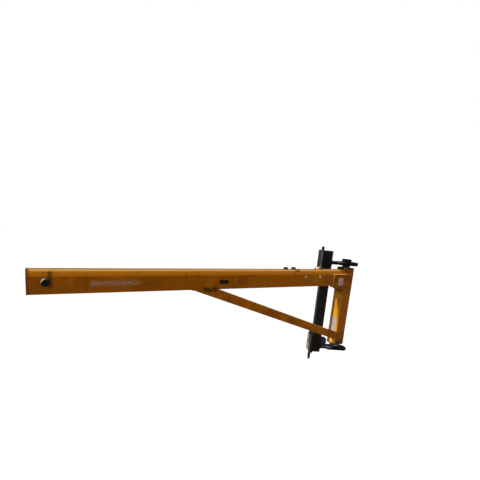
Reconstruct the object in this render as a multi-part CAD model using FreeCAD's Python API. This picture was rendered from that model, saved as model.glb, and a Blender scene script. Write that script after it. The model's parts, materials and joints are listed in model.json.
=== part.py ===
"""Wall-mounted slewing jib crane: a black post bracket and a yellow underbraced jib, in millimetres.

The wall face is the plane X = 0, with the origin on the lower packing plate, midway between its bolt holes.
The slewing axis stands upright at X = reach. The jib is drawn along its own +X from that axis,
and is then turned about the axis into its folded rest position beside the post.
"""
import FreeCAD, Part
import math
import os

V = FreeCAD.Vector
Z_AXIS = V(0, 0, 1)

# Wall plates, packing plates and post
packing_thickness = 18.0
packing_height = 228.0
packing_edge = 23.0
plate_thickness = 15.0
plate_height = 276.0
plate_rim = 15.0
plate_corner = 12.0
bolt_from_post = 22.0
bolt_hole_radius = 11.0
tongue_width = 64.0
upper_tongue = 50.0
lower_tongue = 120.0
tongue_hole_radius = 12.0
post_depth = 120.0
post_width = 80.0
post_wall = 8.0
post_corner = 10.0
post_below_arm = 52.0
post_above_arm = 125.0
cap_thickness = 6.0

# Arms that carry the slewing axis
axis_from_post = 200.0
arm_neck = 70.0
arm_head_width = 150.0
arm_corner = 38.0
upper_arm_thickness = 40.0
upper_arm_overhang = 137.0
lower_arm_thickness = 26.0
lower_arm_overhang = 152.0
gusset_thickness = 12.0
gusset_reach = 80.0
gusset_height = 125.0
gusset_nose = 30.0

# Pins and bearings
pin_radius = 25.0
pin_fit = 0.05
pin_in_mast = 70.0
pin_cap_radius = 58.0
pin_cap_height = 35.0
pin_cap_chamfer = 4.0
upper_collar_radius = 47.0
upper_collar_height = 13.0
upper_flange_height = 12.0
upper_running_gap = 5.0
lower_collar_radius = 64.0
lower_collar_height = 26.0
lower_flange_height = 21.7
thrust_washer_rim = 2.0
thrust_washer_height = 6.0
thrust_gap = 0.3
bush_radius = 38.0
bush_depth = 50.0

# Mast of the jib
mast_size = 150.0
mast_wall = 8.0
mast_corner = 10.0
mast_height = 1023.0
mast_plate = 15.0

# Boom, a rolled track with sloped shoulders and a slot below
boom_length = 3472.0
boom_height = 200.0
boom_width = 104.0
boom_top_width = 66.0
boom_shoulder = 60.0
boom_wall = 5.0
boom_bend = 10.0
boom_slot = 36.0
boom_below_mast_top = 21.0
tip_plate = 6.0
bumper_from_tip = 129.0
bumper_radius = 32.0
bumper_height = 30.0
bumper_chamfer = 7.0

# Cheeks and floor that tie the boom to the mast
cheek_thickness = 10.0
cheek_inset = 16.0
saddle_reach = 260.0
saddle_drop_at_end = 31.0
saddle_drop_at_mast = 66.0
far_cheek_reach = 190.0
floor_thickness = 10.0

# Strut below the boom
strut_width = 50.0
strut_depth = 95.0
strut_wall = 5.0
strut_corner = 8.0
strut_foot = 1979.0
strut_seat = 127.0
strut_cheek_reach = 223.0
strut_cheek_rise = 22.0
strut_cheek_margin = 18.0

# Fittings on top of the boom
lug_from_axis = 478.0
lug_width = 40.0
lug_height = 31.0
lug_thickness = 12.0
ring_radius = 17.0
ring_bore = 8.0
ring_length = 16.0
ring_gap = 4.0

# Rest position: angle between the boom and the line from the axis back to the wall
fold_angle = 26.0

# Derived places
bolt_spacing = post_width + 2 * bolt_from_post
packing_width = bolt_spacing + 2 * packing_edge
plate_width = packing_width + 2 * plate_rim
plate_face = packing_thickness + plate_thickness
post_face = plate_face + post_depth
reach = post_face + axis_from_post
post_bottom = -plate_height / 2
lower_arm_bottom = post_bottom + post_below_arm
lower_arm_top = lower_arm_bottom + lower_arm_thickness
washer_bottom = lower_arm_top + lower_collar_height
washer_top = washer_bottom + thrust_washer_height
lower_bush_bottom = washer_top + thrust_gap
mast_bottom = lower_bush_bottom + lower_flange_height
mast_top = mast_bottom + mast_height
upper_bush_top = mast_top + upper_flange_height
upper_collar_bottom = upper_bush_top + upper_running_gap
upper_arm_bottom = upper_collar_bottom + upper_collar_height
upper_arm_top = upper_arm_bottom + upper_arm_thickness
post_top = upper_arm_top + post_above_arm
upper_plate_middle = post_top - plate_height / 2
half_mast = mast_size / 2
boom_top = mast_top - boom_below_mast_top
boom_bottom = boom_top - boom_height
boom_near = half_mast
boom_middle = boom_near - boom_width / 2
boom_far = boom_near - boom_width
strut_drop = boom_bottom - mast_bottom - strut_seat
strut_middle = boom_near - strut_width / 2
strut_far = boom_near - strut_width


def block(x0, x1, y0, y1, z0, z1):
    return Part.makeBox(x1 - x0, y1 - y0, z1 - z0, V(x0, y0, z0))


def upright(radius, z0, z1, x=0.0, y=0.0):
    return Part.makeCylinder(radius, z1 - z0, V(x, y, z0), Z_AXIS)


def plate(points, along):
    """A flat plate: its outline is a list of points, pushed through by the vector along."""
    wire = Part.makePolygon(points + [points[0]])
    return Part.Face(wire).extrude(along)


def upright_edges(shape):
    return [e for e in shape.Edges if abs(e.tangentAt(e.FirstParameter).z) > 0.999]


def square_tube(width_x, width_y, wall, corner, z0, z1):
    """An upright hollow section with rounded corners and a plain bevelled inside, centred on the Z axis."""
    outer = block(-width_x / 2, width_x / 2, -width_y / 2, width_y / 2, z0, z1)
    outer = outer.makeFillet(corner, upright_edges(outer))
    inner_x = width_x / 2 - wall
    inner_y = width_y / 2 - wall
    inner = block(-inner_x, inner_x, -inner_y, inner_y, z0, z1)
    return outer.cut(inner.makeChamfer(max(corner - wall, 1.0), upright_edges(inner)))


def across(radius, y, z, x0, x1):
    return Part.makeCylinder(radius, x1 - x0, V(x0, y, z), V(1, 0, 0))


def drill_for_bolts(body, middle):
    for side in (-1, 1):
        body = body.cut(across(bolt_hole_radius, side * bolt_spacing / 2, middle, 0, plate_face))
    return body


def packing_plate(middle, outward):
    """A plain packing plate on the wall side, level with the outer end of its wall plate."""
    end = middle + outward * plate_height / 2
    low, high = sorted((end, end - outward * packing_height))
    half = packing_width / 2
    return drill_for_bolts(block(0, packing_thickness, -half, half, low, high), middle)


def wall_plate(middle, outward, tongue):
    """A wall plate with two bolt holes and a round-ended tongue beyond the end of the post."""
    x0, x1 = packing_thickness, plate_face
    half = plate_height / 2
    body = block(x0, x1, -plate_width / 2, plate_width / 2, middle - half, middle + half)
    body = body.makeFillet(plate_corner, [e for e in body.Edges if abs(e.tangentAt(0).x) > 0.999])
    radius = tongue_width / 2
    end = middle + outward * (half + tongue - radius)
    low, high = sorted((middle, end))
    body = body.fuse(block(x0, x1, -radius, radius, low, high))
    body = body.fuse(across(radius, 0, end, x0, x1))
    body = drill_for_bolts(body, middle)
    return body.cut(across(tongue_hole_radius, 0, end, x0, x1)).removeSplitter()


def post():
    tube = square_tube(post_depth, post_width, post_wall, post_corner,
                       post_bottom + cap_thickness, post_top - cap_thickness)
    tube.translate(V(plate_face + post_depth / 2, 0, 0))
    return tube


def post_cap(z0):
    cap = block(plate_face, post_face, -post_width / 2, post_width / 2, z0, z0 + cap_thickness)
    return cap.makeFillet(post_corner, upright_edges(cap))


def arm(z0, thickness, overhang):
    """A flame-cut arm: a neck as wide as the post that widens to a head with cut corners."""
    neck = post_width / 2
    head = arm_head_width / 2
    shoulder = post_face + arm_neck
    tip = reach + overhang
    near = [(post_face, -neck), (shoulder, -neck), (shoulder + head - neck, -head),
            (tip - arm_corner, -head), (tip, -head + arm_corner)]
    far = [(x, -y) for x, y in reversed(near)]
    body = plate([V(x, y, z0) for x, y in near + far], V(0, 0, thickness))
    return body.cut(upright(pin_radius + pin_fit, z0, z0 + thickness, reach))


def arm_gusset():
    """A web standing on the lower arm against the post, with its upper outer corner cut off."""
    y = -gusset_thickness / 2
    tip = post_face + gusset_reach
    top = lower_arm_top + gusset_height
    outline = [V(post_face, y, lower_arm_top), V(tip, y, lower_arm_top), V(tip, y, top - gusset_nose),
               V(tip - gusset_nose, y, top), V(post_face, y, top)]
    return plate(outline, V(0, gusset_thickness, 0))


def ring(outer, inner, z0, z1):
    return upright(outer, z0, z1).cut(upright(inner, z0, z1))


def pin_cap():
    cap = upright(pin_cap_radius, upper_arm_top, upper_arm_top + pin_cap_height)
    rim = [e for e in cap.Edges if abs(e.BoundBox.ZMin - upper_arm_top - pin_cap_height) < 0.001]
    return cap.makeChamfer(pin_cap_chamfer, [e for e in rim if e.BoundBox.ZLength < 0.001])


def bush(radius, flange_bottom, flange_top, sleeve_bottom, sleeve_top):
    flange = upright(radius, flange_bottom, flange_top)
    body = flange.fuse(upright(bush_radius, sleeve_bottom, sleeve_top)).removeSplitter()
    bottom = min(flange_bottom, sleeve_bottom)
    return body.cut(upright(pin_radius + pin_fit, bottom, max(flange_top, sleeve_top)))


def mast():
    return square_tube(mast_size, mast_size, mast_wall, mast_corner,
                       mast_bottom + mast_plate, mast_top - mast_plate)


def mast_end(z0):
    end = block(-half_mast, half_mast, -half_mast, half_mast, z0, z0 + mast_plate)
    end = end.makeFillet(mast_corner, upright_edges(end))
    return end.cut(upright(bush_radius + pin_fit, z0, z0 + mast_plate))


def boom_outline(x):
    half = boom_width / 2
    half_top = boom_top_width / 2
    shoulder = boom_top - boom_shoulder
    points = [(-half, boom_bottom), (half, boom_bottom), (half, shoulder), (half_top, boom_top),
              (-half_top, boom_top), (-half, shoulder)]
    corners = [V(x, boom_middle + y, z) for y, z in points]
    return Part.makePolygon(corners + [corners[0]])


def rolled_bar(outline, bend, length):
    """The outline pushed out along the boom, with its long edges rounded as rolled bends are."""
    bar = Part.Face(outline).extrude(V(length, 0, 0))
    return bar.makeFillet(bend, [e for e in bar.Edges if abs(e.tangentAt(e.FirstParameter).x) > 0.999])


def boom():
    """The rolled track: its outline less the same outline moved in by the wall, with the slot cut."""
    outline = boom_outline(half_mast)
    inner = outline.makeOffset2D(-boom_wall, 2)
    length = boom_length - tip_plate - half_mast
    track = rolled_bar(outline, boom_bend, length)
    track = track.cut(rolled_bar(inner, max(boom_bend - boom_wall, 1.0), length))
    slot = block(half_mast, boom_length, boom_middle - boom_slot / 2, boom_middle + boom_slot / 2,
                 boom_bottom, boom_bottom + 2 * boom_wall)
    return track.cut(slot)


def boom_tip():
    return rolled_bar(boom_outline(boom_length - tip_plate), boom_bend, tip_plate)


def bumper():
    """A round rubber buffer on the near side of the tip, with a bevelled outer edge."""
    middle = V(boom_length - bumper_from_tip, boom_near, boom_top - boom_height / 2)
    disc = Part.makeCylinder(bumper_radius, bumper_height, middle, V(0, 1, 0))
    face_y = boom_near + bumper_height
    edges = [e for e in disc.Edges if e.BoundBox.YMin > face_y - 0.001]
    return disc.makeChamfer(bumper_chamfer, edges)


def saddle_cheek(y0, back, tip):
    """A cheek plate from the shoulder of the boom down past it, deeper towards the mast."""
    top = boom_top - boom_shoulder
    fall = (saddle_drop_at_mast - saddle_drop_at_end) / (saddle_reach + half_mast)
    def low(x):
        return boom_bottom - saddle_drop_at_end - fall * (saddle_reach - x)
    outline = [V(tip, y0, top), V(tip, y0, low(tip)), V(back, y0, low(back)), V(back, y0, top)]
    return plate(outline, V(0, cheek_thickness, 0))


def saddle_floor():
    """The floor under the boom between the cheeks, cut back on the far side."""
    z1 = boom_bottom
    outline = [V(half_mast, boom_far, z1), V(far_cheek_reach, boom_far, z1), V(saddle_reach, boom_near, z1),
               V(half_mast, boom_near, z1)]
    return plate(outline, V(0, 0, -floor_thickness))


def strut_slope():
    return math.atan2(strut_drop, strut_foot - half_mast)


def strut_line(x, edge):
    """Height of the strut's middle line (edge 0), upper edge (edge 1) or lower edge (edge -1) at x."""
    slope = strut_slope()
    middle = boom_bottom - (strut_foot - x) * math.tan(slope)
    return middle + edge * strut_depth / 2 / math.cos(slope)


def strut():
    """The strut tube, cut level under the boom and upright against the mast."""
    slope = strut_slope()
    spare = strut_depth + strut_width
    length = math.hypot(strut_foot - half_mast, strut_drop) + 2 * spare
    tube = square_tube(strut_depth, strut_width, strut_wall, strut_corner, -spare, length - spare)
    tube.rotate(V(0, 0, 0), V(0, 1, 0), 90 - math.degrees(slope))
    tube.translate(V(half_mast, strut_middle, strut_line(half_mast, 0)))
    room = block(half_mast, boom_length, strut_far, boom_near, mast_bottom, boom_bottom)
    return tube.common(room)


def strut_near_cheek():
    """The near cheek follows the strut, then spreads over the near face of the mast."""
    tip = strut_cheek_reach
    back = cheek_inset - half_mast
    low = mast_bottom + strut_cheek_margin
    upper = strut_line(half_mast, 1)
    points = [(tip, strut_line(tip, 1)), (half_mast, upper), (back, upper - strut_cheek_rise), (back, low),
              (half_mast, low), (half_mast, strut_line(half_mast, -1)), (tip, strut_line(tip, -1))]
    return plate([V(x, boom_near, z) for x, z in points], V(0, cheek_thickness, 0))


def strut_far_cheek():
    """The far cheek follows the strut and stops at the mast."""
    tip = far_cheek_reach
    points = [(tip, strut_line(tip, 1)), (half_mast, strut_line(half_mast, 1)),
              (half_mast, strut_line(half_mast, -1)), (tip, strut_line(tip, -1))]
    return plate([V(x, strut_far, z) for x, z in points], V(0, -cheek_thickness, 0))


def lug():
    y0 = boom_middle - lug_width / 2
    return block(lug_from_axis, lug_from_axis + lug_thickness, y0, y0 + lug_width,
                 boom_top, boom_top + lug_height)


def lug_ring():
    middle = V(lug_from_axis - ring_gap - ring_radius, boom_middle, boom_top + ring_radius)
    outer = Part.makeCylinder(ring_radius, ring_length, middle, V(0, 1, 0))
    return outer.cut(Part.makeCylinder(ring_bore, ring_length, middle, V(0, 1, 0)))


def bracket_parts():
    pin_hole = pin_radius + pin_fit
    pieces = {
        "post": post(),
        "post_top_cap": post_cap(post_top - cap_thickness),
        "post_bottom_cap": post_cap(post_bottom),
        "upper_packing_plate": packing_plate(upper_plate_middle, 1),
        "lower_packing_plate": packing_plate(0.0, -1),
        "upper_wall_plate": wall_plate(upper_plate_middle, 1, upper_tongue),
        "lower_wall_plate": wall_plate(0.0, -1, lower_tongue),
        "upper_arm": arm(upper_arm_bottom, upper_arm_thickness, upper_arm_overhang),
        "lower_arm": arm(lower_arm_bottom, lower_arm_thickness, lower_arm_overhang),
        "lower_arm_gusset": arm_gusset(),
    }
    on_axis = {
        "upper_pin": upright(pin_radius, mast_top - pin_in_mast, upper_arm_top),
        "upper_pin_cap": pin_cap(),
        "lower_pin": upright(pin_radius, lower_arm_bottom, mast_bottom + pin_in_mast),
        "upper_collar": ring(upper_collar_radius, pin_hole, upper_collar_bottom, upper_arm_bottom),
        "lower_collar": ring(lower_collar_radius, pin_hole, lower_arm_top, washer_bottom),
        "thrust_washer": ring(lower_collar_radius - thrust_washer_rim, pin_hole, washer_bottom, washer_top),
    }
    for name, shape in on_axis.items():
        shape.translate(V(reach, 0, 0))
        pieces[name] = shape
    return pieces


def jib_parts():
    pieces = {
        "mast": mast(),
        "mast_top_plate": mast_end(mast_top - mast_plate),
        "mast_bottom_plate": mast_end(mast_bottom),
        "upper_bush": bush(upper_collar_radius, mast_top, upper_bush_top, mast_top - bush_depth, mast_top),
        "lower_bush": bush(lower_collar_radius, lower_bush_bottom, mast_bottom,
                           mast_bottom, mast_bottom + bush_depth),
        "boom": boom(),
        "boom_tip_plate": boom_tip(),
        "bumper": bumper(),
        "saddle_near_cheek": saddle_cheek(boom_near, cheek_inset - half_mast, saddle_reach),
        "saddle_far_cheek": saddle_cheek(boom_far - cheek_thickness, half_mast, far_cheek_reach),
        "saddle_floor": saddle_floor(),
        "strut": strut(),
        "strut_near_cheek": strut_near_cheek(),
        "strut_far_cheek": strut_far_cheek(),
        "boom_lug": lug(),
        "boom_lug_ring": lug_ring(),
    }
    for shape in pieces.values():
        shape.rotate(V(0, 0, 0), Z_AXIS, 180 + fold_angle)
        shape.translate(V(reach, 0, 0))
    return pieces


os.makedirs("parts", exist_ok=True)
for node, shape in {**bracket_parts(), **jib_parts()}.items():
    shape.exportStep("parts/" + node + ".step")
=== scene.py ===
import json
import math
import bpy
from mathutils import Matrix, Vector


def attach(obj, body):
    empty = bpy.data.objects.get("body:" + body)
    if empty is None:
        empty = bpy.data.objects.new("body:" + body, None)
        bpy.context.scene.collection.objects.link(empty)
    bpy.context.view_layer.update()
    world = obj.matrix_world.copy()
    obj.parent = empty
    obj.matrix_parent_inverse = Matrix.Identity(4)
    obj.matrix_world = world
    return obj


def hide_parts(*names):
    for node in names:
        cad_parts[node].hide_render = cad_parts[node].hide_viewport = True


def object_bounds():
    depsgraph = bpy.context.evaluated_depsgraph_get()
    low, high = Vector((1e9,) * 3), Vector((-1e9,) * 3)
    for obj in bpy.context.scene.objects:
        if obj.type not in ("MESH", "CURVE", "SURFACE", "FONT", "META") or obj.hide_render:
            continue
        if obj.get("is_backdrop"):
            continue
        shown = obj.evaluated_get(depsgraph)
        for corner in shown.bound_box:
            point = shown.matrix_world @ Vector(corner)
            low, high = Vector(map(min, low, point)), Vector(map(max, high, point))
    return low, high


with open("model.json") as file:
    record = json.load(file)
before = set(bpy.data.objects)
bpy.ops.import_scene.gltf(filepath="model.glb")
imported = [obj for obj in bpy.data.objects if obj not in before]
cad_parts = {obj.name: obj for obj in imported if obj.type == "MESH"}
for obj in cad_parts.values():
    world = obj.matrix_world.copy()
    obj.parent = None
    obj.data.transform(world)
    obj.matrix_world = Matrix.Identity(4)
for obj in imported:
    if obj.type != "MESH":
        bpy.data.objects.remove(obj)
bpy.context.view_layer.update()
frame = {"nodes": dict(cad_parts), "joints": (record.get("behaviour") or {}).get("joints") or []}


# Packing plates: plain flats of hot-rolled steel laid between the wall and the wall plates,
# drilled for the wall bolts and painted black. Against the wall, the lower one still carries
# plaster on its outer half, and the upper one is darkened with painted shade, apart from one
# bare edge.
def put(tree, kind, sockets=None, **settings):
    """Adds one shader node with its settings and the values of its free sockets."""
    node = tree.nodes.new(kind)
    for key, value in settings.items():
        setattr(node, key, value)
    for key, value in (sockets or {}).items():
        node.inputs[key].default_value = value
    return node


def feed(tree, value, socket):
    """Links a socket, or sets a plain value."""
    if isinstance(value, bpy.types.NodeSocket):
        tree.links.new(value, socket)
    else:
        socket.default_value = value


def calc(tree, operation, *values):
    """One step of arithmetic, with its result kept between 0 and 1."""
    node = put(tree, "ShaderNodeMath", operation=operation, use_clamp=True)
    for value, socket in zip(values, node.inputs):
        feed(tree, value, socket)
    return node.outputs[0]


def overlap(tree, *masks):
    """The product of several masks, which is 1 only where all of them are."""
    shared = masks[0]
    for mask in masks[1:]:
        shared = calc(tree, "MULTIPLY", shared, mask)
    return shared


def rise(tree, value, low, high):
    """A soft step from 0 at low to 1 at high."""
    node = put(tree, "ShaderNodeMapRange", {"From Min": low, "From Max": high},
               interpolation_type="SMOOTHSTEP")
    feed(tree, value, node.inputs["Value"])
    return node.outputs["Result"]


def fall(tree, value, low, high):
    """A soft step from 1 at low to 0 at high."""
    return calc(tree, "SUBTRACT", 1.0, rise(tree, value, low, high))


def tint(tree, mask, under, over):
    """Lays the colour over on the colour under, where the mask is 1."""
    node = put(tree, "ShaderNodeMix", data_type="RGBA")
    feed(tree, mask, node.inputs[0])
    for colour, socket in ((under, node.inputs[6]), (over, node.inputs[7])):
        feed(tree, colour if isinstance(colour, bpy.types.NodeSocket) else (*colour, 1.0), socket)
    return node.outputs[2]


def cloud(tree, place, scale, detail, stretch=(1.0, 1.0, 1.0), shift=(0.0, 0.0, 0.0)):
    """Soft noise, between about 0.3 and 0.7, in a pattern that can be stretched and shifted."""
    grain = put(tree, "ShaderNodeMapping", {"Scale": stretch, "Location": shift})
    noise = put(tree, "ShaderNodeTexNoise", {"Scale": scale, "Detail": detail, "Roughness": 0.55})
    tree.links.new(place, grain.inputs["Vector"])
    tree.links.new(grain.outputs["Vector"], noise.inputs["Vector"])
    return noise.outputs["Fac"]


def blotches(tree, place, scale, detail, cut, **pattern):
    """Noise made into patches, which start and end at the two values of the cut."""
    return rise(tree, cloud(tree, place, scale, detail, **pattern), *cut)


def new_group(name, inputs, outputs, vectors):
    """A node group with named inputs and outputs, which are plain values apart from the vectors."""
    group = bpy.data.node_groups.new(name, "ShaderNodeTree")
    for way, labels in (("INPUT", inputs), ("OUTPUT", outputs)):
        for label in labels:
            kind = "NodeSocketVector" if label in vectors else "NodeSocketFloat"
            group.interface.new_socket(label, in_out=way, socket_type=kind)
    return group, put(group, "NodeGroupInput").outputs, put(group, "NodeGroupOutput").inputs


def edges_and_corners():
    """Finds the edges, inner corners and upward faces of a piece, and rounds its edges a little."""
    group, given, result = new_group("edges_and_corners", ["Radius", "Reach"],
                                     ["Rounded", "Edge", "Corner", "Upward", "Skyward"],
                                     vectors=["Rounded"])
    rounded = put(group, "ShaderNodeBevel", samples=6)
    group.links.new(given["Radius"], rounded.inputs["Radius"])
    surface = put(group, "ShaderNodeNewGeometry")
    lean = put(group, "ShaderNodeVectorMath", operation="DOT_PRODUCT")
    group.links.new(rounded.outputs["Normal"], lean.inputs[0])
    group.links.new(surface.outputs["Normal"], lean.inputs[1])
    shelter = put(group, "ShaderNodeAmbientOcclusion", samples=6)
    group.links.new(given["Reach"], shelter.inputs["Distance"])
    upright = put(group, "ShaderNodeSeparateXYZ")
    group.links.new(surface.outputs["Normal"], upright.inputs["Vector"])
    group.links.new(rounded.outputs["Normal"], result["Rounded"])
    edge = calc(group, "SUBTRACT", 1.0, lean.outputs["Value"])
    feed(group, rise(group, edge, 0.01, 0.2), result["Edge"])
    corner = calc(group, "SUBTRACT", 1.0, shelter.outputs["AO"])
    feed(group, rise(group, corner, 0.3, 0.9), result["Corner"])
    feed(group, rise(group, upright.outputs["Z"], 0.6, 0.98), result["Upward"])
    feed(group, rise(group, upright.outputs["Z"], 0.03, 0.36), result["Skyward"])
    return group


def paint_wear():
    """Soft tones, dirt runs, chips and the fine peel of sprayed paint."""
    group, given, result = new_group("paint_wear", ["Place", "Edge", "Corner", "Chipping"],
                                     ["Tone", "Faded", "Dirt", "Chip", "Peel"], vectors=["Place"])
    place = given["Place"]
    feed(group, blotches(group, place, 1.9, 5.0, (0.40, 0.64)), result["Tone"])
    faded = blotches(group, place, 5.0, 6.0, (0.50, 0.74), shift=(3.0, 1.0, 2.0))
    feed(group, faded, result["Faded"])
    runs = overlap(group, blotches(group, place, 1.0, 3.0, (0.50, 0.74), stretch=(30.0, 30.0, 1.6)),
                   blotches(group, place, 1.1, 2.0, (0.40, 0.62)))
    dirt = calc(group, "MULTIPLY_ADD", blotches(group, place, 11.0, 8.0, (0.55, 0.72)), 0.35,
                calc(group, "MULTIPLY", runs, 0.45))
    dirt = calc(group, "MULTIPLY_ADD", given["Corner"], 0.8, dirt)
    feed(group, calc(group, "MULTIPLY_ADD", given["Edge"], 0.45, dirt), result["Dirt"])
    flakes = cloud(group, place, 60.0, 6.0)
    worn = calc(group, "MULTIPLY_ADD", overlap(group, given["Edge"], given["Chipping"]), 0.36, flakes)
    spots = overlap(group, blotches(group, place, 24.0, 5.0, (0.68, 0.71), shift=(5.0, 2.0, 7.0)),
                    blotches(group, place, 2.6, 2.0, (0.50, 0.58)))
    feed(group, calc(group, "MAXIMUM", rise(group, worn, 0.66, 0.74), spots), result["Chip"])
    feed(group, cloud(group, place, 420.0, 2.0), result["Peel"])
    return group


edge_group = edges_and_corners()
wear_group = paint_wear()


def worn_coat(name, tones, bleached_and_lit, settled, grime, chip, turn=0.0, shift=(0.0, 0.0, 0.0),
              gloss=0.35, chipping=0.6, rounding=0.003, sheltered=0.06, specular=0.2,
              sheen=(1.0, 1.0, 1.0)):
    """A worn coat on steel: a base tone with a deeper and a faded one, lighter where it looks up
    at the sky, partly sun-bleaching and partly painted light, then settled dust, dirt and chips."""
    coat = bpy.data.materials.new(name)
    coat.use_nodes = True
    tree = coat.node_tree
    shader = tree.nodes["Principled BSDF"]
    spot = put(tree, "ShaderNodeTexCoord")
    place = put(tree, "ShaderNodeMapping", {"Location": shift, "Rotation": (0.0, 0.0, turn)},
                name="place")
    tree.links.new(spot.outputs["Object"], place.inputs["Vector"])
    edges = put(tree, "ShaderNodeGroup", node_tree=edge_group)
    edges.inputs["Radius"].default_value = rounding
    edges.inputs["Reach"].default_value = sheltered
    wear = put(tree, "ShaderNodeGroup", node_tree=wear_group)
    wear.inputs["Chipping"].default_value = chipping
    tree.links.new(place.outputs["Vector"], wear.inputs["Place"])
    tree.links.new(edges.outputs["Edge"], wear.inputs["Edge"])
    tree.links.new(edges.outputs["Corner"], wear.inputs["Corner"])
    colour = tint(tree, wear.outputs["Tone"], tones[0], tones[1])
    colour = tint(tree, wear.outputs["Faded"], colour, tones[2])
    # Lighter on faces that look up: partly sun-bleaching, partly painted light.
    colour = tint(tree, edges.outputs["Skyward"], colour, bleached_and_lit)
    dust = blotches(tree, place.outputs["Vector"], 7.0, 6.0, (0.36, 0.66))
    colour = tint(tree, overlap(tree, dust, edges.outputs["Upward"]), colour, settled)
    colour = tint(tree, wear.outputs["Dirt"], colour, grime)
    colour = tint(tree, wear.outputs["Chip"], colour, chip)
    tree.links.new(colour, shader.inputs["Base Color"])
    dull = calc(tree, "MAXIMUM", wear.outputs["Dirt"], wear.outputs["Chip"])
    rough = put(tree, "ShaderNodeMapRange", {"To Min": gloss, "To Max": gloss + 0.32})
    tree.links.new(dull, rough.inputs["Value"])
    tree.links.new(rough.outputs["Result"], shader.inputs["Roughness"])
    height = calc(tree, "MULTIPLY_ADD", wear.outputs["Chip"], -0.5,
                  calc(tree, "MULTIPLY_ADD", wear.outputs["Peel"], 0.35, 0.5))
    bump = put(tree, "ShaderNodeBump", {"Strength": 0.35, "Distance": 0.0012})
    tree.links.new(height, bump.inputs["Height"])
    tree.links.new(edges.outputs["Rounded"], bump.inputs["Normal"])
    tree.links.new(bump.outputs["Normal"], shader.inputs["Normal"])
    shader.inputs["Specular IOR Level"].default_value = specular
    shader.inputs["Specular Tint"].default_value = (*sheen, 1.0)
    return coat


def layout(coat):
    """The coat's node tree, the place on the piece, and that place along each of three axes."""
    tree = coat.node_tree
    place = tree.nodes["place"].outputs["Vector"]
    axes = put(tree, "ShaderNodeSeparateXYZ")
    tree.links.new(place, axes.inputs["Vector"])
    return tree, place, *axes.outputs


def lay_over(coat, mask, colour, cover=1.0):
    """Lays one more colour over all that already feeds the shader, where the mask is 1."""
    tree = coat.node_tree
    target = tree.nodes["Principled BSDF"].inputs["Base Color"]
    if cover < 1.0:
        mask = calc(tree, "MULTIPLY", mask, cover)
    tree.links.new(tint(tree, mask, target.links[0].from_socket, colour), target)


def dress(coat, *names):
    """Gives CAD nodes their coat."""
    for name in names:
        slots = frame["nodes"][name].data.materials
        slots.clear()
        slots.append(coat)


packing_black = worn_coat(
    "packing_black", ((0.009, 0.009, 0.011), (0.018, 0.014, 0.012), (0.026, 0.027, 0.031)),
    bleached_and_lit=(0.018, 0.019, 0.022), settled=(0.045, 0.048, 0.052), grime=(0.025, 0.020, 0.017),
    chip=(0.10, 0.062, 0.042), gloss=0.5, chipping=0.9, specular=0.035)
tree, place, out, across, height = layout(packing_black)
wall_face = calc(tree, "LESS_THAN", out, 0.0008)
upper_one = rise(tree, height, 0.5, 0.6)
slant = put(tree, "ShaderNodeMath", {1: -0.25}, operation="MULTIPLY_ADD")
tree.links.new(height, slant.inputs[0])
tree.links.new(across, slant.inputs[2])
plaster = overlap(tree, wall_face, blotches(tree, place, 12.0, 7.0, (0.30, 0.54)),
                  rise(tree, slant.outputs[0], -0.010, 0.026))
lay_over(packing_black, calc(tree, "SUBTRACT", plaster, upper_one), (0.235, 0.205, 0.175))
# Painted shade: the upper plate's face against the wall is darkened.
painted_shade_face = overlap(tree, wall_face, upper_one)
lay_over(packing_black, painted_shade_face, (0.006, 0.006, 0.007), cover=0.7)
bare_edge = overlap(tree, fall(tree, across, -0.066, -0.052), painted_shade_face)
lay_over(packing_black, bare_edge, (0.085, 0.088, 0.090))
dress(packing_black, "upper_packing_plate", "lower_packing_plate")


# Wall plates and post: flame-cut plates with round-ended tongues, welded to a hollow section
# with thin end caps. The post is a rusty brown-black, and the plates are a blue-black.
post_black = worn_coat(
    "post_black", ((0.0090, 0.0068, 0.0060), (0.0140, 0.0088, 0.0066), (0.017, 0.014, 0.013)),
    bleached_and_lit=(0.012, 0.011, 0.011), settled=(0.022, 0.022, 0.023), grime=(0.024, 0.015, 0.010),
    chip=(0.060, 0.038, 0.028), gloss=0.42, chipping=0.7, specular=0.03)
plate_black = worn_coat(
    "plate_black", ((0.0030, 0.0038, 0.0062), (0.0048, 0.0046, 0.0056), (0.0085, 0.0100, 0.0145)),
    bleached_and_lit=(0.0045, 0.0055, 0.0085), settled=(0.0105, 0.0130, 0.0180), grime=(0.011, 0.009, 0.008),
    chip=(0.060, 0.042, 0.033), gloss=0.66, chipping=0.7, specular=0.02)
dress(plate_black, "upper_wall_plate", "lower_wall_plate")
dress(post_black, "post", "post_top_cap", "post_bottom_cap")


def settle(piece, point, turn):
    """Turns a piece made at the origin, moves it to a point, and applies both to its mesh."""
    bpy.ops.object.select_all(action="DESELECT")
    piece.select_set(True)
    bpy.context.view_layer.objects.active = piece
    piece.rotation_euler = turn.to_euler()
    piece.location = point
    bpy.ops.object.transform_apply(location=True, rotation=True, scale=True)
    return piece


usual_weld, thin_weld = 0.009, 0.007


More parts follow.
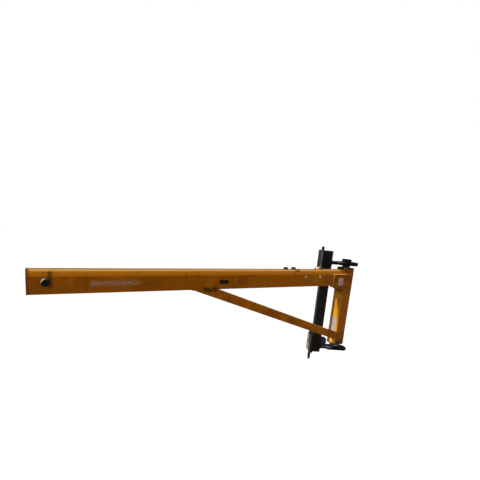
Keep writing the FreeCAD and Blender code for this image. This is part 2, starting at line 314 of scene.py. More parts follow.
def weld_run(start, end, width=usual_weld):
    """One straight weld: ripples laid over each other from start to end."""
    run = Vector(end) - Vector(start)
    ripple_step = width * 0.45
    bpy.ops.object.select_all(action="DESELECT")
    bpy.ops.mesh.primitive_uv_sphere_add(segments=8, ring_count=6, radius=width / 2)
    bead = bpy.context.object
    bpy.ops.object.mode_set(mode="EDIT")
    bpy.ops.mesh.select_all(action="SELECT")
    bpy.ops.transform.resize(value=(1.5, 1.0, 1.0))
    bpy.ops.transform.rotate(value=0.25, orient_axis="Y", center_override=(0.0, 0.0, 0.0))
    bpy.ops.object.mode_set(mode="OBJECT")
    laid = bead.modifiers.new("laid", "ARRAY")
    laid.count = max(3, round(run.length / ripple_step))
    laid.use_relative_offset = False
    laid.use_constant_offset = True
    laid.constant_offset_displace = (run.length / (laid.count - 1), 0.0, 0.0)
    bpy.ops.object.modifier_apply(modifier=laid.name)
    settle(bead, start, run.to_track_quat("X", "Z"))
    bpy.ops.object.shade_smooth()
    return bead


def join(name, pieces):
    """Makes one piece of several."""
    bpy.ops.object.select_all(action="DESELECT")
    for piece in pieces:
        piece.select_set(True)
    bpy.context.view_layer.objects.active = pieces[0]
    bpy.ops.object.join()
    bpy.context.object.name = name
    return bpy.context.object


def belong(piece, coat, body):
    """Gives a finished piece its coat and its body."""
    piece.data.materials.clear()
    piece.data.materials.append(coat)
    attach(piece, body)


post_back, post_front = 0.033, 0.153
post_side = 0.040
lower_plate, upper_plate = (-0.128, 0.128), (0.946, 1.202)
weld_line = post_back + 0.003
plate_welds = []
for low, high in (lower_plate, upper_plate):
    for edge in (0.001 - post_side, post_side - 0.001):
        plate_welds.append(weld_run((weld_line, edge, low), (weld_line, edge, high)))
belong(join("plate_welds", plate_welds), post_black, "wall_bracket")


# Arms: two flame-cut plates that hold the slewing pins, butted and welded to the post. A web
# of a paler blue-grey stands on the lower one. They are sprayed with the wall plates, and on
# their tops next to the post, running over the upper arm's edge, lies dust with a painted sky
# highlight.
lower_arm, upper_arm = (-0.086, -0.060), (1.047, 1.087)
web_side, web_top, web_tip = 0.006, 0.062, 0.231


def band(tree, value, start, end):
    """1 between two soft steps, a rise and a fall, each given by its own two ends."""
    return overlap(tree, rise(tree, value, *start), fall(tree, value, *end))


tree, _, out, _, height = layout(plate_black)
next_to_post = band(tree, out, (post_front - 0.003, post_front + 0.003), (0.22, 0.33))
# Dust and painted sky highlight: a pale blue-grey on the arm tops next to the post.
for top, dusty_depth in ((lower_arm[1], 0.002), (upper_arm[1], 0.016)):
    dust_and_sky_highlight = band(tree, height, (top - dusty_depth, top - 0.0005), (top + 0.0005, top + 0.0015))
    lay_over(plate_black, overlap(tree, dust_and_sky_highlight, next_to_post), (0.100, 0.110, 0.122), cover=0.9)
dress(plate_black, "upper_arm", "lower_arm", "upper_pin_cap", "upper_collar", "lower_collar")
# The web is a paler blue-grey than the arms.
pale_web_black = worn_coat(
    "pale_web_black", ((0.052, 0.056, 0.078), (0.036, 0.038, 0.050), (0.070, 0.076, 0.098)),
    bleached_and_lit=(0.058, 0.062, 0.080), settled=(0.070, 0.074, 0.085), grime=(0.030, 0.027, 0.028),
    chip=(0.060, 0.042, 0.033), gloss=0.5, chipping=0.7, specular=0.03)
dress(pale_web_black, "lower_arm_gusset")
arm_welds = []
for low, high in (lower_arm, upper_arm):
    for level in (high, low):
        arm_welds.append(weld_run((post_front, -post_side, level), (post_front, post_side, level)))
    for edge in (-post_side, post_side):
        arm_welds.append(weld_run((post_front, edge, low), (post_front, edge, high)))
web_foot = lower_arm[1]
for edge in (-web_side, web_side):
    arm_welds.append(weld_run((post_front, edge, web_foot + 0.004), (post_front, edge, web_top),
                              thin_weld))
    arm_welds.append(weld_run((post_front + 0.004, edge, web_foot), (web_tip, edge, web_foot),
                              thin_weld))
belong(join("arm_welds", arm_welds), plate_black, "wall_bracket")


# Slewing pins, bushes and thrust washer: turned steel with oil on it, and a bronze washer
# under the lower bush that carries the weight of the jib.
def turned_metal(name, colour, oiled, rough, rusted=(0.16, 0.075, 0.035)):
    """Bare turned metal: fine rings round the axis, oil stains and a few rust spots."""
    metal = bpy.data.materials.new(name)
    metal.use_nodes = True
    tree = metal.node_tree
    shader = tree.nodes["Principled BSDF"]
    spot = put(tree, "ShaderNodeTexCoord").outputs["Object"]
    stain = blotches(tree, spot, 26.0, 7.0, (0.42, 0.68))
    rust = blotches(tree, spot, 48.0, 6.0, (0.60, 0.72), shift=(2.0, 6.0, 1.0))
    shade = tint(tree, stain, colour, oiled)
    tree.links.new(tint(tree, rust, shade, rusted), shader.inputs["Base Color"])
    rings = cloud(tree, spot, 6.0, 4.0, stretch=(1.0, 1.0, 260.0))
    worn = put(tree, "ShaderNodeMapRange", {"To Min": rough, "To Max": rough + 0.3})
    tree.links.new(calc(tree, "MAXIMUM", stain, rust), worn.inputs["Value"])
    tree.links.new(worn.outputs["Result"], shader.inputs["Roughness"])
    bump = put(tree, "ShaderNodeBump", {"Strength": 0.2, "Distance": 0.0005})
    tree.links.new(rings, bump.inputs["Height"])
    tree.links.new(bump.outputs["Normal"], shader.inputs["Normal"])
    shader.inputs["Metallic"].default_value = 0.85
    return metal


turned_steel = turned_metal("turned_steel", colour=(0.042, 0.024, 0.022), oiled=(0.018, 0.010, 0.009),
                            rough=0.34, rusted=(0.060, 0.024, 0.014))
bronze = turned_metal("bronze", colour=(0.34, 0.22, 0.12), oiled=(0.15, 0.09, 0.05), rough=0.35)
greasy_steel = turned_metal("greasy_steel", colour=(0.055, 0.050, 0.047), oiled=(0.022, 0.019, 0.017),
                            rough=0.42)
dress(turned_steel, "lower_pin", "lower_bush")
dress(greasy_steel, "upper_pin", "upper_bush")
dress(bronze, "thrust_washer")


# Mast: a square hollow section closed by thick end plates, sprayed with the rest of the jib in
# an orange-yellow. Painted light makes the face towards the tip paler, most of all at its foot.
# Painted shade darkens its back edges and its head, and under the saddle it is darkened by
# grime and painted shade. The top plate is greasy and darkened with painted shade, and the
# bottom plate shows only its old red-lead primer.
reach = frame["joints"][0]["pos_m"][0]
jib_turn = math.radians(206.0)
jib_cos, jib_sin = math.cos(jib_turn), math.sin(jib_turn)
half_mast = 0.075
mast_bottom = -0.006


def jib_coat(name, chipping=0.8, rounding=0.006, sheltered=0.06):
    """The jib's paint, in a pattern laid out along the boom, towards its near side, and up."""
    return worn_coat(
        name, ((0.340, 0.098, 0.0030), (0.265, 0.068, 0.0020), (0.405, 0.134, 0.0060)),
        bleached_and_lit=(0.53, 0.185, 0.012), settled=(0.46, 0.205, 0.034), grime=(0.095, 0.036, 0.007),
        chip=(0.060, 0.032, 0.020), turn=-jib_turn, shift=(-jib_cos * reach, jib_sin * reach, 0.0),
        gloss=0.36, chipping=chipping, rounding=rounding, sheltered=sheltered, specular=0.05,
        sheen=(1.0, 0.50, 0.12))


mast_coat = jib_coat("mast_coat")
tree, place, along, _, height = layout(mast_coat)
tip_face = rise(tree, along, half_mast - 0.009, half_mast - 0.001)
# Painted light: the face towards the tip is paler, as where sun falls on it.
painted_sun_face = overlap(tree, tip_face, blotches(tree, place, 8.0, 6.0, (0.22, 0.52)))
lay_over(mast_coat, painted_sun_face, (0.67, 0.300, 0.026), cover=0.85)
# Painted light: the foot of that face is brighter still, as a patch of sun under the strut.
painted_sun_foot = overlap(tree, fall(tree, height, 0.100, 0.150), painted_sun_face)
lay_over(mast_coat, painted_sun_foot, (0.77, 0.385, 0.080), cover=0.8)
# Grime and painted shade: darker just under the saddle, most of all on the tip face.
under_saddle = overlap(tree, rise(tree, height, 0.650, 0.735),
                       calc(tree, "MULTIPLY_ADD", tip_face, 0.45, 0.35))
lay_over(mast_coat, under_saddle, (0.050, 0.015, 0.002))
# Painted shade: darker along the back edges, where the corners turn away from the light.
back_edge = fall(tree, along, 0.003 - half_mast, 0.022 - half_mast)
lay_over(mast_coat, back_edge, (0.085, 0.027, 0.003), cover=0.85)
# Painted shade: the top of the tip face is darkened, as in the shadow of the arm.
head_painted_shade = overlap(tree, rise(tree, height, 0.925, 0.945),
                     rise(tree, along, half_mast - 0.022, half_mast - 0.006))
lay_over(mast_coat, head_painted_shade, (0.075, 0.025, 0.004), cover=0.9)
dress(mast_coat, "mast")
# Grease and painted shade: the top plate is darkened in blotches.
grease_and_shade_yellow = jib_coat("grease_and_shade_yellow")
tree, place, *_ = layout(grease_and_shade_yellow)
grease_and_shade = blotches(tree, place, 9.0, 6.0, (0.24, 0.56))
lay_over(grease_and_shade_yellow, grease_and_shade, (0.060, 0.026, 0.008), cover=0.85)
dress(grease_and_shade_yellow, "mast_top_plate")
red_lead = worn_coat(
    "red_lead", ((0.115, 0.026, 0.014), (0.070, 0.018, 0.012), (0.165, 0.048, 0.022)),
    bleached_and_lit=(0.15, 0.045, 0.022), settled=(0.13, 0.055, 0.028), grime=(0.045, 0.016, 0.010),
    chip=(0.075, 0.036, 0.022), gloss=0.55, chipping=0.8)
dress(red_lead, "mast_bottom_plate")


# Boom: a rolled track with sloped shoulders and a slot below, closed by a welded tip plate. Its
# top is dirty, its upper bends carry a painted highlight, and painted shade darkens its shoulders
# towards their lower bend, and its shoulder and weld next to the mast, where its top is also
# greasy. Its near side is scuffed, carries a blank dark decal, grows darker towards the bottom
# and has a darker patch beside the buffer. The paint is scorched round the weld of the strut and
# worn to the primer at the tip.
boom_length = 3.472
boom_top, boom_bottom = 0.996, 0.796
boom_near, boom_far = 0.075, -0.029
boom_middle = (boom_near + boom_far) / 2
boom_shoulder = boom_top - 0.060
boom_top_near, boom_top_far = 0.056, -0.010
boom_bend = 0.010
tip_plate, tip_weld = 0.006, 0.005


def window(tree, value, low, high, soft):
    """1 between low and high, with soft ends."""
    return band(tree, value, (low - soft, low + soft), (high - soft, high + soft))


def patch(tree, axes, lengthwise, upright, soft):
    """A soft-edged rectangle on the side of the jib."""
    return overlap(tree, window(tree, axes[0], *lengthwise, soft),
                   window(tree, axes[2], *upright, soft))


def scorch(coat):
    """Browns and burns the paint round the weld between the strut and the boom."""
    tree, place, *axes = layout(coat)
    burnt = patch(tree, axes, (1.865, 2.010), (0.774, 0.822), soft=0.014)
    lay_over(coat, burnt, (0.15, 0.040, 0.005), cover=0.55)
    burnt = overlap(tree, burnt, blotches(tree, place, 22.0, 7.0, (0.38, 0.56)))
    lay_over(coat, burnt, (0.045, 0.018, 0.008))


boom_coat = jib_coat("boom_coat", rounding=0.008)
tree, place, *axes = layout(boom_coat)
along, side, height = axes
near_side = rise(tree, side, boom_near - 0.002, boom_near - 0.001)
near_half = rise(tree, side, boom_middle, boom_middle + 0.020)
scratches = overlap(tree, blotches(tree, place, 1.0, 3.0, (0.57, 0.64), stretch=(2.4, 40.0, 150.0)),
                    blotches(tree, place, 2.2, 3.0, (0.46, 0.60)))
lay_over(boom_coat, scratches, (0.16, 0.065, 0.012), cover=0.55)
# Darker towards the bottom of the side.
lower_darkening = overlap(tree, fall(tree, height, boom_bottom, boom_bottom + 0.075),
                      blotches(tree, place, 6.0, 6.0, (0.34, 0.62)))
lay_over(boom_coat, lower_darkening, (0.25, 0.075, 0.006), cover=0.6)
scuff = overlap(tree, patch(tree, axes, (2.62, 3.02), (0.866, 0.894), soft=0.016), near_side,
                blotches(tree, place, 34.0, 8.0, (0.43, 0.57), stretch=(0.60, 1.0, 1.2)))
lay_over(boom_coat, scuff, (0.28, 0.225, 0.165))
scorch(boom_coat)
decal = overlap(tree, patch(tree, axes, (1.735, 1.838), (0.851, 0.892), soft=0.0012), near_side,
                blotches(tree, place, 90.0, 5.0, (0.27, 0.34)))
lay_over(boom_coat, decal, (0.012, 0.007, 0.004))
bled = overlap(tree, patch(tree, axes, (0.262, 0.312), (0.790, 0.930), soft=0.014),
               blotches(tree, place, 24.0, 6.0, (0.34, 0.62)))
lay_over(boom_coat, bled, (0.26, 0.060, 0.006), cover=0.7)
# Painted shadow: darker on the shoulder beside the mast, where the arm's shadow falls.
beside_mast = overlap(tree, fall(tree, along, 0.090, 0.190), rise(tree, height, 0.930, 0.962),
                      blotches(tree, place, 14.0, 6.0, (0.26, 0.50)))
lay_over(boom_coat, beside_mast, (0.16, 0.048, 0.008), cover=0.8)
# Painted shade: the weld at the mast is darkened.
mast_seam = fall(tree, along, half_mast + 0.004, half_mast + 0.010)
lay_over(boom_coat, mast_seam, (0.060, 0.020, 0.003), cover=0.9)
# Painted shade: the shoulders darken towards their lower bend.
down_the_shoulder = band(tree, height, (boom_shoulder - 0.007, boom_shoulder + 0.002),
                         (boom_shoulder, boom_top - 0.014))
lay_over(boom_coat, down_the_shoulder, (0.350, 0.102, 0.003), cover=0.8)
bend_line = overlap(tree, window(tree, height, boom_shoulder - 0.005, boom_shoulder + 0.002, 0.003),
                    blotches(tree, place, 3.2, 6.0, (0.46, 0.62)))
lay_over(boom_coat, bend_line, (0.13, 0.040, 0.004), cover=0.65)
primer_end = overlap(tree, rise(tree, along, boom_length - 0.036, boom_length - 0.022),
                     blotches(tree, place, 18.0, 7.0, (0.30, 0.54)))
lay_over(boom_coat, primer_end, (0.235, 0.058, 0.014), cover=0.75)
top_dirt = rise(tree, height, boom_top - 0.0030, boom_top - 0.0010)
lay_over(boom_coat, top_dirt, (0.100, 0.064, 0.030), cover=0.9)
# Grease and painted shade: the top darkens next to the mast.
top_grease_and_shade = overlap(tree, top_dirt, fall(tree, along, 0.120, 0.210))
lay_over(boom_coat, top_grease_and_shade, (0.030, 0.012, 0.003), cover=0.95)
# Painted highlight along the upper bends.
painted_highlight_bend = overlap(tree, window(tree, height, boom_top - 0.016, boom_top - 0.004, 0.002),
                      band(tree, along, (0.130, 0.210), (boom_length - 0.037, boom_length - 0.017)))
lay_over(boom_coat, painted_highlight_bend, (0.90, 0.46, 0.10), cover=0.85)
# A darker patch beside and above the buffer.
dark_by_buffer = overlap(tree, patch(tree, axes, (3.295, 3.328), (0.852, 0.980), soft=0.012), near_half,
                 blotches(tree, place, 15.0, 6.0, (0.14, 0.42)))
lay_over(boom_coat, dark_by_buffer, (0.075, 0.028, 0.004), cover=0.8)
tip_side = overlap(tree, near_side, rise(tree, along, 3.27, 3.36))
lay_over(boom_coat, tip_side, (0.225, 0.062, 0.002), cover=0.5)
rust = calc(tree, "MAXIMUM", patch(tree, axes, (0.806, 0.872), (0.970, 1.010), soft=0.012),
            patch(tree, axes, (0.865, 0.881), (0.922, 0.958), soft=0.008))
rust = overlap(tree, rust, near_half, blotches(tree, place, 30.0, 6.0, (0.26, 0.52)))
lay_over(boom_coat, rust, (0.125, 0.035, 0.012), cover=0.85)
dress(boom_coat, "boom", "boom_tip_plate")


def on_jib(along, side, height):
    """A point given along the boom from the slewing axis, towards its near side, and up."""
    return Vector((reach + jib_cos * along - jib_sin * side, jib_sin * along + jib_cos * side, height))


def jib_welds(name, coat, runs):
    """One piece made of welds on the jib, each given by its two ends and, if unusual, its width."""
    beads = [weld_run(on_jib(*start), on_jib(*end), *width) for start, end, *width in runs]
    belong(join(name, beads), coat, "jib")


def round_the_bends(outline, bend):
    """The closed outline with each corner as three points on its bend."""
    points = []
    for before, corner, after in zip(outline[-1:] + outline, outline, outline[1:] + outline[:1]):
        back, on = (before - corner).normalized(), (after - corner).normalized()
        half = back.angle(on) / 2
        start, end = corner + back * bend / math.tan(half), corner + on * bend / math.tan(half)
        middle = corner + (back + on).normalized() * (bend / math.sin(half) - bend)
        points += [start, middle, end]
    return points


boom_outline = [Vector(corner) for corner in (
    (boom_near, boom_bottom), (boom_near, boom_shoulder), (boom_top_near, boom_top),
    (boom_top_far, boom_top), (boom_far, boom_shoulder), (boom_far, boom_bottom))]
bends = round_the_bends(boom_outline, boom_bend)
tip_seam = boom_length - tip_plate
boom_runs = []
for a, b in zip(bends, bends[1:] + bends[:1]):
    boom_runs.append(((tip_seam, *a), (tip_seam, *b), tip_weld))
    if max(a.y, b.y) > boom_shoulder or max(a.x, b.x) < boom_middle:
        boom_runs.append(((half_mast, *a), (half_mast, *b)))
jib_welds("boom_welds", boom_coat, boom_runs)


# Saddle: cheek plates that lap the boom and the mast, with a floor plate under the boom. They
# are welded all round and painted over. The cheeks are darkened in blotches, partly grime and
# partly painted shade, and their welds carry a painted highlight towards the tip.
cheek_back, cheek_tip = -0.059, 0.260
cheek_thickness = 0.010
cheek_low_back, cheek_low_mast = 0.7317, 0.7457
heavy_weld = 0.018
cheek_coat = jib_coat("cheek_coat")
tree, place, *_ = layout(cheek_coat)
# Grime and painted shade: the cheeks are darker in blotches.
lay_over(cheek_coat, blotches(tree, place, 13.0, 7.0, (0.28, 0.62)), (0.185, 0.050, 0.0035))
dress(cheek_coat, "saddle_near_cheek", "saddle_far_cheek")
jib_yellow = jib_coat("jib_yellow")
dress(jib_yellow, "saddle_floor")
weld_painted_highlight = jib_coat("weld_painted_highlight", chipping=0.25, sheltered=0.004)
tree, _, along, _, _ = layout(weld_painted_highlight)
# Painted highlight: the welds grow lighter towards the tip.
lay_over(weld_painted_highlight, rise(tree, along, 0.010, 0.110), (0.66, 0.345, 0.105), cover=0.5)
upper_back, upper_tip = (cheek_back, half_mast, boom_shoulder), (cheek_tip, half_mast, boom_shoulder)
lower_back = (cheek_back, half_mast, cheek_low_back)
jib_welds("saddle_welds", weld_painted_highlight, [
    (upper_back, upper_tip, heavy_weld),
    (upper_tip, (cheek_tip, half_mast, boom_bottom), heavy_weld),
    (lower_back, upper_back),
    (lower_back, (half_mast - 0.004, half_mast, cheek_low_mast)),
])


# Strut: a hollow section from the foot of the mast up to the boom, mitred at both ends. Cheek
# plates, greasy at the bottom, lap its lower end. Its upper end is welded under the boom, which
# has scorched the paint there.
strut_foot, strut_seat = 1.979, 0.127
strut_near, strut_far = 0.075, 0.025
strut_depth = 0.095
strut_slope = math.atan2(boom_bottom - mast_bottom - strut_seat, strut_foot - half_mast)
strut_half = strut_depth / 2 / math.cos(strut_slope)
strut_coat = jib_coat("strut_coat")
weld_yellow = jib_coat("weld_yellow", chipping=0.25, sheltered=0.004)
scorch(strut_coat)
scorch(weld_yellow)
dress(strut_coat, "strut")
tree, place, _, _, height = layout(cheek_coat)
foot_grease = overlap(tree, fall(tree, height, 0.010, 0.080),
                      blotches(tree, place, 17.0, 6.0, (0.20, 0.48)))
lay_over(cheek_coat, foot_grease, (0.026, 0.014, 0.006))
dress(cheek_coat, "strut_near_cheek", "strut_far_cheek")


def strut_height(along, edge):
    """Height of the strut's upper (edge 1) or lower (edge -1) face."""
    return boom_bottom - (strut_foot - along) * math.tan(strut_slope) + edge * strut_half


foot_half = strut_half / math.tan(strut_slope)
foot_inner, foot_outer = strut_foot - foot_half, strut_foot + foot_half
seat_top, seat_low = strut_height(half_mast, 1), strut_height(half_mast, -1)
lap_tip, lap_low = 0.223, mast_bottom + 0.018
lap_back = seat_top - 0.022
lap_corner = (lap_tip, strut_near, strut_height(lap_tip, 1))
inner_near, inner_far = (foot_inner, strut_near, boom_bottom), (foot_inner, strut_far, boom_bottom)
outer_near, outer_far = (foot_outer, strut_near, boom_bottom), (foot_outer, strut_far, boom_bottom)
jib_welds("strut_welds", weld_yellow, [
    (inner_near, outer_near),
    (inner_far, outer_far),
    (inner_far, inner_near),
    (outer_far, outer_near),
    ((half_mast, strut_far, seat_top), (half_mast, strut_near, seat_top)),
    ((half_mast, strut_far, seat_low), (half_mast, strut_near, seat_low)),
    (lap_corner, (half_mast, strut_near, seat_top), thin_weld),
    ((lap_tip, strut_near, strut_height(lap_tip, -1)), lap_corner, thin_weld),
    ((half_mast, half_mast, seat_top), (cheek_back, half_mast, lap_back), thin_weld),
    ((cheek_back, half_mast, lap_low), (cheek_back, half_mast, lap_back), thin_weld),
])


# Lug and ring on top of the boom: a small flat welded on, its paint made paler as painted
# light, which holds a plain ring of greasy steel.
painted_light_cover = 0.55
lug_coat = jib_coat("lug_coat")
# Painted light: the lug's paint is made paler all over.
lay_over(lug_coat, painted_light_cover, (0.60, 0.36, 0.13))
dress(lug_coat, "boom_lug")
dress(greasy_steel, "boom_lug_ring")


# Bolts: two zinc-plated bolts with washers go through the sides of the boom, with nuts behind.
# Two larger rusty ones and a small painted stud with its nut stand on its top.
def pick_faces(piece, test):
    """Selects the faces that pass the test, and goes into edit mode."""
    bpy.ops.object.mode_set(mode="OBJECT")
    bpy.context.tool_settings.mesh_select_mode = (False, False, True)
    for part in (*piece.data.vertices, *piece.data.edges):
        part.select = False
    for face in piece.data.polygons:
        face.select = test(face)
    bpy.ops.object.mode_set(mode="EDIT")


def disc(sides, radius, low, high, rim, steps=2):
    """A disc or hexagon standing on low, with the rim of its upper face bevelled."""
    bpy.ops.object.select_all(action="DESELECT")
    bpy.ops.mesh.primitive_cylinder_add(vertices=sides, radius=radius, depth=high - low,
                                        location=(0.0, 0.0, (low + high) / 2))
    piece = bpy.context.object
    bpy.ops.object.transform_apply(location=True, rotation=True, scale=True)
    pick_faces(piece, lambda face: face.normal.z > 0.9)
    bpy.ops.mesh.bevel(offset=rim, segments=steps, affect="EDGES")
    bpy.ops.object.mode_set(mode="OBJECT")
    return piece


def fastener(name, across, head, washer_radius, washer, stub_radius=0.0, stub=0.0):
    """A hexagon on a washer, with the end of the thread showing where it is a nut."""
    pieces = [disc(40, washer_radius, 0.0, washer, washer * 0.3),
              disc(6, across / math.sqrt(3.0), washer, washer + head, head * 0.12)]
    if stub:
        pieces.append(disc(20, stub_radius, washer, washer + head + stub, stub_radius * 0.15))
    bolt = join(name, pieces)
    bpy.ops.object.shade_smooth_by_angle(angle=math.radians(35.0))
    return bolt


def stand(piece, point, axis):
    """Stands a piece, made upright on the origin, at a point along an axis."""
    return settle(piece, point, axis.to_track_quat("Z", "Y"))


def copy_of(piece, name):
    """A second piece of the same shape, with its own mesh."""
    twin = piece.copy()
    twin.data = piece.data.copy()
    twin.name = name
    bpy.context.scene.collection.objects.link(twin)
    return twin


near_way = on_jib(0.0, 1.0, 0.0) - on_jib(0.0, 0.0, 0.0)
tip_way = on_jib(1.0, 0.0, 0.0) - on_jib(0.0, 0.0, 0.0)
up = Vector((0.0, 0.0, 1.0))
zinc = turned_metal("zinc", colour=(0.35, 0.265, 0.155), oiled=(0.17, 0.105, 0.048), rough=0.42)
rusty = worn_coat(
    "rusty", ((0.050, 0.030, 0.010), (0.032, 0.021, 0.008), (0.085, 0.046, 0.014)),
    bleached_and_lit=(0.060, 0.040, 0.015), settled=(0.085, 0.060, 0.026), grime=(0.022, 0.016, 0.008),
    chip=(0.14, 0.058, 0.022), gloss=0.6, chipping=0.9, specular=0.04)
stop_spots, stop_level = (0.502, 0.721), 0.914
top_spots, stud_spot = (0.873, 0.985), 0.542
stop_head = fastener("stop_bolt_1", across=0.024, head=0.010, washer_radius=0.0165, washer=0.003)
stop_nut = fastener("stop_nut_1", across=0.024, head=0.013, washer_radius=0.0165, washer=0.003,
                    stub_radius=0.008, stub=0.007)
stop_heads = (stop_head, copy_of(stop_head, "stop_bolt_2"))
stop_nuts = (stop_nut, copy_of(stop_nut, "stop_nut_2"))
for pieces, face, axis in ((stop_heads, boom_near, near_way), (stop_nuts, boom_far, -near_way)):
    for piece, distance in zip(pieces, stop_spots):
        belong(stand(piece, on_jib(distance, face, stop_level), axis), zinc, "jib")
top_bolt = fastener("top_bolt_1", across=0.046, head=0.018, washer_radius=0.029, washer=0.005)
for piece, distance in zip((top_bolt, copy_of(top_bolt, "top_bolt_2")), top_spots):
    belong(stand(piece, on_jib(distance, boom_middle, boom_top), up), rusty, "jib")
clip_bolt = fastener("clip_bolt", across=0.017, head=0.010, washer_radius=0.012, washer=0.0025,
                     stub_radius=0.006, stub=0.012)
stand(clip_bolt, on_jib(stud_spot, boom_middle, boom_top), up)
belong(clip_bolt, jib_yellow, "jib")


# Buffer: a round of moulded rubber fixed to the near side of the boom close to its tip, with a
# rolled edge and a shallow dish moulded in its face. Its rim carries a painted highlight above
# and towards the tip.
buffer_radius, buffer_depth, rolled_edge = 0.032, 0.030, 0.009
dish_rim, dish_depth, dish_slope = 0.006, 0.0025, 0.003
buffer_spot = on_jib(3.343, boom_near, 0.896)
bumper = disc(72, buffer_radius, 0.0, buffer_depth, rolled_edge, steps=6)
pick_faces(bumper, lambda face: face.normal.z > 0.99 and face.area > 0.0005)
bpy.ops.mesh.inset(thickness=dish_rim)
bpy.ops.mesh.extrude_region_move(TRANSFORM_OT_translate={"value": (0.0, 0.0, -dish_depth)})
bpy.ops.mesh.inset(thickness=dish_slope)
bpy.ops.object.mode_set(mode="OBJECT")
bumper.name = "rubber_buffer"
bpy.ops.object.shade_smooth_by_angle(angle=math.radians(40.0))
rubber = worn_coat(
    "buffer_rubber", ((0.0040, 0.0042, 0.0046), (0.0065, 0.0060, 0.0058), (0.0110, 0.0105, 0.0100)),
    bleached_and_lit=(0.030, 0.028, 0.025), settled=(0.060, 0.056, 0.050), grime=(0.009, 0.007, 0.006),
    chip=(0.020, 0.018, 0.017), gloss=0.55, chipping=0.3, rounding=0.001, specular=0.03)
tree, place, *_ = layout(rubber)
# Painted highlight on the rim, on the side that faces the key light.
highlight_way = tip_way * 0.75 + up * 0.66
highlight_level = buffer_spot.dot(highlight_way)
towards_highlight = put(tree, "ShaderNodeVectorMath", {1: highlight_way}, operation="DOT_PRODUCT")
tree.links.new(place, towards_highlight.inputs[0])
painted_highlight_rim = rise(tree, towards_highlight.outputs["Value"], highlight_level + 0.015, highlight_level + 0.029)
lay_over(rubber, painted_highlight_rim, (0.27, 0.245, 0.215), cover=0.9)
belong(stand(bumper, buffer_spot, near_way), rubber, "jib")
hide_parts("bumper")


# Labels: a blank plate fixed to the near cheek and a blank paper label stuck to the mast, both
# with rounded corners and weathered until nothing can be read.
def label(name, width, height, thickness, point, across, outward):
    """A flat label, with its width running across and its face looking outward at a point."""
    bpy.ops.object.select_all(action="DESELECT")
    bpy.ops.mesh.primitive_plane_add(size=1.0)
    piece = bpy.context.object
    piece.scale = (width, height, 1.0)
    bpy.ops.object.transform_apply(location=True, rotation=True, scale=True)
    bpy.ops.object.mode_set(mode="EDIT")
    bpy.ops.mesh.select_all(action="SELECT")
    bpy.ops.mesh.bevel(offset=0.006, segments=4, affect="VERTICES")
    bpy.ops.object.mode_set(mode="OBJECT")
    wall = piece.modifiers.new("wall", "SOLIDIFY")
    wall.thickness = thickness
    wall.offset = 1.0
    bpy.ops.object.modifier_apply(modifier=wall.name)
    piece.name = name
    return settle(piece, point, Matrix((across, up, outward)).transposed())


cheek_label = label("cheek_label", width=0.084, height=0.098, thickness=0.0008,
                    point=on_jib(0.145, half_mast + cheek_thickness, 0.848),
                    across=-tip_way, outward=near_way)
mast_label = label("mast_label", width=0.098, height=0.178, thickness=0.0005,
                   point=on_jib(half_mast, 0.0, 0.2665), across=near_way, outward=tip_way)
label_plate = worn_coat(
    "label_plate", ((0.44, 0.28, 0.215), (0.36, 0.22, 0.160), (0.54, 0.38, 0.31)),
    bleached_and_lit=(0.54, 0.38, 0.31), settled=(0.50, 0.38, 0.30), grime=(0.19, 0.11, 0.07),
    chip=(0.33, 0.12, 0.012), gloss=0.5, chipping=0.9)
label_paper = worn_coat(
    "label_paper", ((0.44, 0.36, 0.27), (0.36, 0.27, 0.19), (0.54, 0.47, 0.38)),
    bleached_and_lit=(0.54, 0.47, 0.38), settled=(0.50, 0.44, 0.35), grime=(0.19, 0.13, 0.08),
    chip=(0.33, 0.12, 0.012), gloss=0.5, chipping=0.9)
belong(cheek_label, label_plate, "jib")
belong(mast_label, label_paper, "jib")


# Floor, light and camera: a pale floor, as far below the crane as when it hangs on its wall, a
# soft high key from the left and behind as in the photograph, a broad fill from the front, and
# the photograph's viewpoint.
floor_level = -3.5
bpy.ops.object.select_all(action="DESELECT")
bpy.ops.mesh.primitive_plane_add(size=120.0, location=(0.0, 0.0, floor_level))
floor = bpy.context.object
floor.name = "floor"
floor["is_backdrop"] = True


def background_rays(tree):
    """1 for the rays that show the background itself, straight or in a reflection."""
    rays = put(tree, "ShaderNodeLightPath").outputs
    straight_or_glossy = calc(tree, "ADD", rays["Is Camera Ray"], rays["Is Glossy Ray"])
    return calc(tree, "ADD", straight_or_glossy, rays["Is Transmission Ray"])


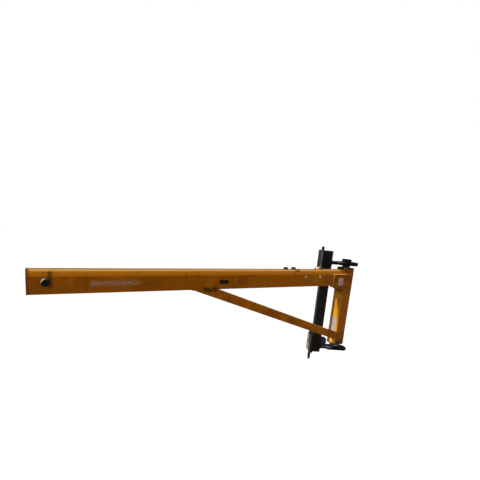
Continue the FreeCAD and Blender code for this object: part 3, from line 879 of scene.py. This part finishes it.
pale = bpy.data.materials.new("pale_floor")
pale.use_nodes = True
tree = pale.node_tree
white_floor = put(tree, "ShaderNodeBsdfDiffuse", {"Color": (0.585, 0.585, 0.585, 1.0)})
grey_floor = put(tree, "ShaderNodeBsdfDiffuse", {"Color": (0.28, 0.27, 0.26, 1.0)})
either = put(tree, "ShaderNodeMixShader")
tree.links.new(background_rays(tree), either.inputs["Fac"])
tree.links.new(grey_floor.outputs["BSDF"], either.inputs[1])
tree.links.new(white_floor.outputs["BSDF"], either.inputs[2])
tree.links.new(either.outputs["Shader"], tree.nodes["Material Output"].inputs["Surface"])
floor.data.materials.append(pale)

sky = bpy.data.worlds.new("studio")
sky.use_nodes = True
bpy.context.scene.world = sky
tree = sky.node_tree
level = put(tree, "ShaderNodeMapRange", {"To Min": 0.38, "To Max": 1.0})
tree.links.new(background_rays(tree), level.inputs["Value"])
tree.links.new(level.outputs["Result"], tree.nodes["Background"].inputs["Strength"])
tree.nodes["Background"].inputs["Color"].default_value = (1.0, 1.0, 1.0, 1.0)


def lamp(name, kind, energy, spot, target, **settings):
    """A lamp at a spot that shines towards a target."""
    light = bpy.data.lights.new(name, kind)
    light.energy = energy
    for key, value in settings.items():
        setattr(light, key, value)
    holder = bpy.data.objects.new(name, light)
    bpy.context.scene.collection.objects.link(holder)
    holder.location = spot
    holder.rotation_euler = (Vector(target) - Vector(spot)).to_track_quat("-Z", "Y").to_euler()


lamp("key", "SUN", energy=5.6, spot=(-6.01, -1.37, 8.28), target=(0.0, 0.0, 0.4),
     angle=math.radians(5.0))
lamp("fill", "AREA", energy=40.0, spot=(-3.0, -8.0, 4.0), target=(-1.2, -0.7, 0.6), size=6.0)

photo_size, focal_length = 480.0, 320.945
centre_across, centre_down = 233.0, 285.0
pan, tilt, roll = math.radians(-3.3606), math.radians(90.0 - 11.0851), math.radians(4.7751)
lens = bpy.data.cameras.new("camera")
lens.sensor_width = 36.0
lens.lens = lens.sensor_width * focal_length / photo_size
lens.shift_x = (photo_size / 2 - centre_across) / photo_size
lens.shift_y = (centre_down - photo_size / 2) / photo_size
eye = bpy.data.objects.new("camera", lens)
bpy.context.scene.collection.objects.link(eye)
eye.location = (-1.3141, -4.0294, 1.4711)
eye.rotation_euler = (Matrix.Rotation(pan, 3, "Z") @ Matrix.Rotation(tilt, 3, "X")
                      @ Matrix.Rotation(roll, 3, "Z")).to_euler()
bpy.context.scene.camera = eye
bpy.context.scene.view_settings.view_transform = "Standard"

low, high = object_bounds()
